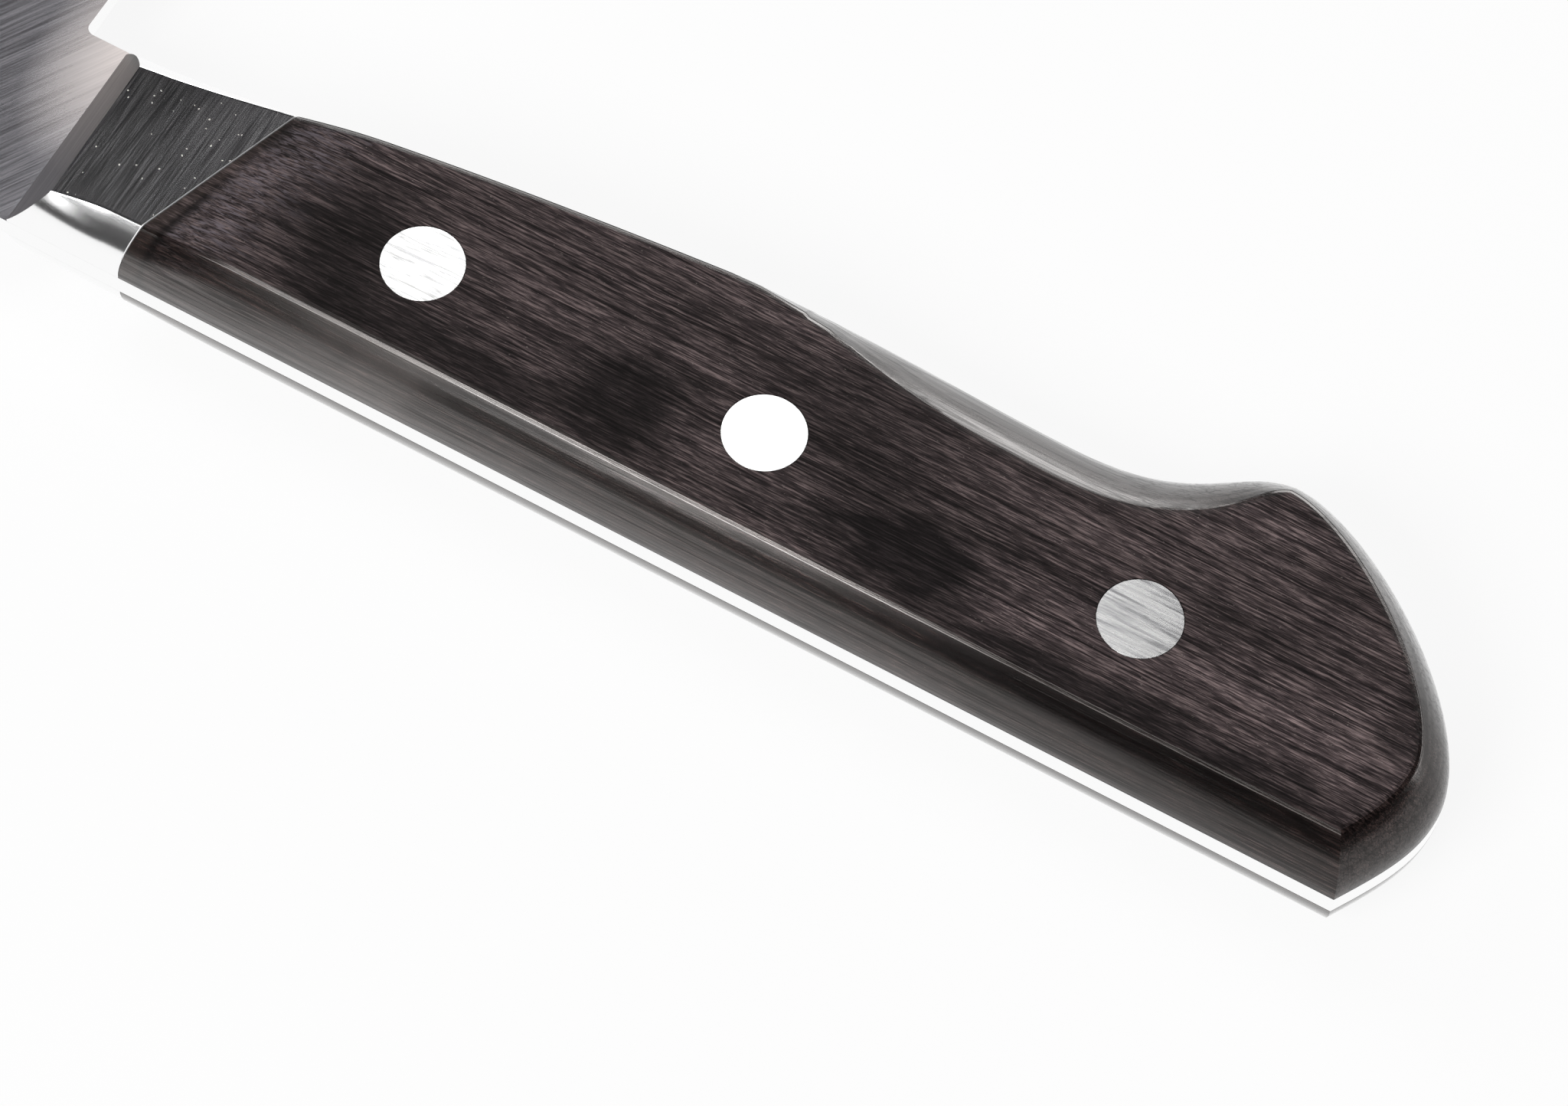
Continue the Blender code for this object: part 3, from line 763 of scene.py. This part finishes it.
bladeLook = {
    "steel": (0.265, 0.258, 0.277), "bright": (0.380, 0.372, 0.398), "polished": (0.95, 0.95, 0.95),
    "flatFacing": (0.97, 0.90), "turn": (0, 0, math.radians(-59)),
    "lines": {"scale": (60, 3200, 60), "detail": 3, "rough": 0.6}, "lineShare": 0.55,
    "scratches": {"scale": (160, 8000, 160)}, "scratchShare": 0.45, "brightShare": (0.0, 1.0, 0.36, 0.64),
    "cloud": {"scale": (70, 90, 70), "detail": 3}, "cloudShare": 0.4, "cloudTones": [(0.3, 0.72), (0.7, 1.0)],
    # coarser where the heel meets the bolster, and paler there with a painted reflection
    "pale": (0.95, 0.87, 0.84), "glareTones": [(0.36, 0.80), (0.64, 1.0)], "paleAt": (0.0440, -0.0035),
    "paleReach": (0.0062, 0.0118), "paleRag": 0.2, "paleFade": (1.0, 0.0, 0.10, 1.25), "paleRough": 0.18,
    "rough": (0.17, 0.24, 0.36, 0.64), "polishing": (1.0, 0.3), "bump": (0.00002, 0.03),
}


def dressBlade(look):
    steel = Finish("satin blade steel")
    steel.set({"Metallic": 1.0})
    side = steel.sides(*look["flatFacing"])
    turned = steel.mapping((1, 1, 1), look["turn"])
    lines = steel.times(steel.noise(**look["lines"], vector=turned), look["lineShare"])
    scratches = steel.times(steel.noise(**look["scratches"], vector=turned), look["scratchShare"])
    grind = steel.plus(lines, scratches)
    color = steel.mix("MIX", steel.spread(grind, *look["brightShare"]), look["steel"], look["bright"])
    cloud = steel.ramp(steel.noise(**look["cloud"]), look["cloudTones"])
    color = steel.mix("MULTIPLY", look["cloudShare"], color, cloud)
    (x, y), (reachX, reachY) = look["paleAt"], look["paleReach"]
    away = steel.vector("LENGTH", steel.mapping((1 / reachX, 1 / reachY, 0), shift=(-x / reachX, -y / reachY, 0)))
    heel = steel.spread(steel.plus(away, steel.times(grind, look["paleRag"])), *look["paleFade"])
    # painted reflection: a paler, pinkish tint over the grind near the heel
    pale = steel.mix("MULTIPLY", 1.0, look["pale"], steel.ramp(grind, look["glareTones"]))
    color = steel.mix("MIX", heel, color, pale)
    steel.feed("Base Color", steel.mix("MIX", side, color, look["polished"]))
    rough = steel.plus(steel.spread(grind, *look["rough"]), steel.times(heel, look["paleRough"]))
    steel.feed("Roughness", steel.times(rough, steel.spread(side, *look["polishing"])))
    steel.bump(grind, *look["bump"])
    return steel


bolsterLook = {
    "steel": (0.185, 0.182, 0.190), "bright": (0.440, 0.434, 0.442), "polished": (0.95, 0.95, 0.95),
    "flatFacing": (0.97, 0.93), "slopeFacing": (0.0, 1.0, -0.35, -0.6), "rearFacing": (0.0, 1.0, 0.12, 0.25),
    "lines": {"scale": (5200, 150, 150), "detail": 3, "rough": 0.6}, "brightShare": (0.0, 1.0, 0.35, 0.65),
    # painted shading: the face's colour darkens towards the blade and lightens towards the wood
    "run": (0.0, 1.0, 0.047, 0.062), "shadingTones": [(0.0, 0.80), (1.0, 1.10)],
    # painted shade: the slope gets a much darker copy of the steel
    "slope": (0.094, 0.089, 0.087), "slopeTones": [(0.35, 0.70), (0.65, 1.30)],
    # pale specks, on the flat only
    "grit": (0.80, 0.77, 0.72), "gritCells": (1500, 1500, 1500), "gritSize": 0.11, "gritBar": 0.55, "gritFlat": 0.1,
    "gritRag": {"scale": (5000, 5000, 5000), "reach": (0.3, 0.3, 0.3)},
    "rough": (0.175, 0.195, 0.35, 0.65), "polishing": (1.0, 0.75), "slopeRough": 0.26, "rearRough": 0.45,
    "bump": (0.00001, 0.03),
}


def paleSpecks(steel, look, side):
    cells = steel.tree.nodes.new("ShaderNodeTexVoronoi")
    cells.inputs["Scale"].default_value = 1
    place = steel.vector("ADD", steel.mapping(look["gritCells"]), steel.stir(**look["gritRag"]))
    steel.link(place, cells.inputs["Vector"])
    dot = steel.math("LESS_THAN", cells.outputs["Distance"], look["gritSize"])
    some = steel.times(dot, steel.math("GREATER_THAN", cells.outputs["Color"], look["gritBar"]))
    return steel.times(some, steel.math("LESS_THAN", side, look["gritFlat"]))


def dressBolster(look):
    steel = Finish("brushed bolster steel")
    side = steel.sides(*look["flatFacing"])
    slope = steel.spread(steel.facing.outputs["X"], *look["slopeFacing"])
    rear = steel.spread(steel.facing.outputs["X"], *look["rearFacing"])
    lines = steel.noise(**look["lines"])
    color = steel.mix("MIX", steel.spread(lines, *look["brightShare"]), look["steel"], look["bright"])
    # painted shading along the face, darker by the blade
    run = steel.spread(steel.along((1, 0, 0)), *look["run"])
    color = steel.mix("MULTIPLY", 1.0, color, steel.ramp(run, look["shadingTones"]))
    color = steel.mix("MIX", side, color, look["polished"])
    # painted shade: the slope's streaked steel is darkened well below the face's
    shadedSlope = steel.mix("MULTIPLY", 1.0, look["slope"], steel.ramp(lines, look["slopeTones"]))
    color = steel.mix("MIX", slope, color, shadedSlope)
    grit = paleSpecks(steel, look, side)
    steel.feed("Base Color", steel.mix("MIX", grit, color, look["grit"]))
    steel.feed("Metallic", steel.less(1.0, grit))
    rough = steel.times(steel.spread(lines, *look["rough"]), steel.spread(side, *look["polishing"]))
    rough = steel.plus(rough, steel.times(slope, look["slopeRough"]))
    steel.feed("Roughness", steel.plus(rough, steel.times(rear, look["rearRough"])))
    steel.bump(lines, *look["bump"])
    return steel


rivetLook = {
    "steel": (0.66, 0.66, 0.675), "bright": (0.95, 0.95, 0.94), "brightShare": (0.0, 1.0, 0.36, 0.62),
    "lines": {"scale": (160, 3600, 160), "turn": (0, 0, math.radians(4)), "detail": 4, "rough": 0.65},
    "hairs": {"scale": (130, 2700, 130)}, "hair": (0.45, 0.45, 0.45), "hairAt": 0.5,
    "hairDepth": (0.85, 0.0, 0.010, 0.060), "hairFade": (1.0, 0.1, 0.082, 0.100),
    "rough": (0.16, 0.32, 0.3, 0.7), "bump": (0.00002, 0.09),
}


def dressRivets(look):
    steel = Finish("ground rivet steel")
    steel.set({"Metallic": 1.0})
    lines = steel.noise(**look["lines"])
    color = steel.mix("MIX", steel.spread(lines, *look["brightShare"]), look["steel"], look["bright"])
    hair = steel.spread(steel.apart(steel.noise(**look["hairs"]), look["hairAt"]), *look["hairDepth"])
    hair = steel.times(hair, steel.spread(steel.along((1, 0, 0)), *look["hairFade"]))
    steel.feed("Base Color", steel.mix("MULTIPLY", hair, color, look["hair"]))
    steel.feed("Roughness", steel.spread(lines, *look["rough"]))
    steel.bump(lines, *look["bump"])
    return steel


dressWood(woodLook).dress(pieces["scale_right"], pieces["scale_left"])
dressBlade(bladeLook).dress(pieces["blade"])
dressBolster(bolsterLook).dress(pieces["bolster_right"], pieces["bolster_left"])
dressRivets(rivetLook).dress(*[piece for name, piece in pieces.items() if "male" in name])
print("materials laid")

stageLook = {
    "floorSize": 30.0, "floorDrop": 0.0002, "floorColor": (0.96, 0.96, 0.96), "cameraShare": 0.90,
    "studio": (0.048, 0.047, 0.048), "aim": (0.06, -0.01, 0.007),
    # name: place, size across and along, power in watts
    "lamps": {
        "key": ((-0.12, -0.88, 0.86), (0.60, 0.50), 12.0),
        "left": ((-1.05, 0.38, 1.00), (0.60, 0.60), 5.6),
        "top": ((-0.1795, 0.477, 1.00), (0.19, 0.40), 0.80),
        "rear": ((0.60, 1.50, 0.22), (3.60, 0.42), 21.0),
        "low": ((-0.190, -1.24, 0.42), (0.12, 0.26), 0.42),
        "over": ((0.00, 0.15, 1.50), (0.90, 0.36), 0.85),
        "side": ((1.35, -1.25, 0.55), (1.30, 0.90), 2.4),
        "front": ((-0.30, -1.30, 0.70), (1.20, 0.26), 0.19),
    },
}


def seenShare(tree, cameraShare):
    # how much of the plain white the camera, gloss and glass see
    path = tree.nodes.new("ShaderNodeLightPath")
    shares = []
    for ray, share in (("Is Camera Ray", cameraShare), ("Is Glossy Ray", 1.0), ("Is Transmission Ray", 1.0)):
        part = tree.nodes.new("ShaderNodeMath")
        part.operation = "MULTIPLY"
        part.inputs[1].default_value = share
        tree.links.new(path.outputs[ray], part.inputs[0])
        shares.append(part.outputs["Value"])
    total = shares[0]
    for share in shares[1:]:
        both = tree.nodes.new("ShaderNodeMath")
        both.operation = "MAXIMUM"
        tree.links.new(total, both.inputs[0])
        tree.links.new(share, both.inputs[1])
        total = both.outputs["Value"]
    return total


def layFloor(look):
    bm = bmesh.new()
    bmesh.ops.create_grid(bm, x_segments=1, y_segments=1, size=look["floorSize"] / 2)
    bmesh.ops.translate(bm, vec=(0, 0, -look["floorDrop"]), verts=bm.verts)
    mesh = bpy.data.meshes.new("floor")
    bm.to_mesh(mesh)
    bm.free()
    floor = bpy.data.objects.new("floor", mesh)
    bpy.context.scene.collection.objects.link(floor)
    material = bpy.data.materials.new("pale floor")
    material.use_nodes = True
    tree = material.node_tree
    tree.nodes.remove(tree.nodes["Principled BSDF"])
    matt = tree.nodes.new("ShaderNodeBsdfDiffuse")
    matt.inputs["Color"].default_value = (*look["floorColor"], 1)
    glow = tree.nodes.new("ShaderNodeEmission")
    glow.inputs["Strength"].default_value = 1.0
    both = tree.nodes.new("ShaderNodeMixShader")
    tree.links.new(seenShare(tree, look["cameraShare"]), both.inputs["Fac"])
    tree.links.new(matt.outputs["BSDF"], both.inputs[1])
    tree.links.new(glow.outputs["Emission"], both.inputs[2])
    tree.links.new(both.outputs["Shader"], tree.nodes["Material Output"].inputs["Surface"])
    floor.data.materials.append(material)


def paintStudio(look):
    # dim round the object, white behind the floor
    world = bpy.data.worlds.new("studio")
    bpy.context.scene.world = world
    world.use_nodes = True
    tree = world.node_tree
    dim = tree.nodes["Background"]
    dim.inputs["Color"].default_value = (*look["studio"], 1)
    white = tree.nodes.new("ShaderNodeBackground")
    white.inputs["Color"].default_value = (1, 1, 1, 1)
    both = tree.nodes.new("ShaderNodeMixShader")
    path = tree.nodes.new("ShaderNodeLightPath")
    tree.links.new(path.outputs["Is Camera Ray"], both.inputs["Fac"])
    tree.links.new(dim.outputs["Background"], both.inputs[1])
    tree.links.new(white.outputs["Background"], both.inputs[2])
    tree.links.new(both.outputs["Shader"], tree.nodes["World Output"].inputs["Surface"])


def hangLamps(look):
    aim = Vector(look["aim"])
    for name, (spot, size, power) in look["lamps"].items():
        lamp = bpy.data.lights.new(name, "AREA")
        lamp.shape = "RECTANGLE"
        lamp.size, lamp.size_y = size
        lamp.energy = power
        holder = bpy.data.objects.new(name, lamp)
        bpy.context.scene.collection.objects.link(holder)
        holder.location = spot
        holder.rotation_euler = (aim - Vector(spot)).to_track_quat("-Z", "Y").to_euler()


layFloor(stageLook)
paintStudio(stageLook)
hangLamps(stageLook)

# the photograph's view: from over the spine and a little behind, 129 mm on a 36 mm wide frame
view = {
    "place": Vector((0.199715, -0.20533, 0.40661)), "forward": Vector((-0.19057, 0.41792, -0.8883)),
    "right": Vector((0.87496, 0.48271, 0.03937)), "lens": 129.17, "sensor": 36.0, "clipStart": 0.01,
}


def placeCamera(look):
    data = bpy.data.cameras.new("camera")
    data.lens = look["lens"]
    data.sensor_fit = "HORIZONTAL"
    data.sensor_width = look["sensor"]
    data.clip_start = look["clipStart"]
    camera = bpy.data.objects.new("camera", data)
    bpy.context.scene.collection.objects.link(camera)
    back = -look["forward"].normalized()
    right = (look["right"] - back * look["right"].dot(back)).normalized()
    turn = Matrix((right, back.cross(right), back)).transposed().to_4x4()
    camera.matrix_world = Matrix.Translation(look["place"]) @ turn
    bpy.context.scene.camera = camera


placeCamera(view)
bpy.context.scene.view_settings.view_transform = "Standard"
print("stage set")
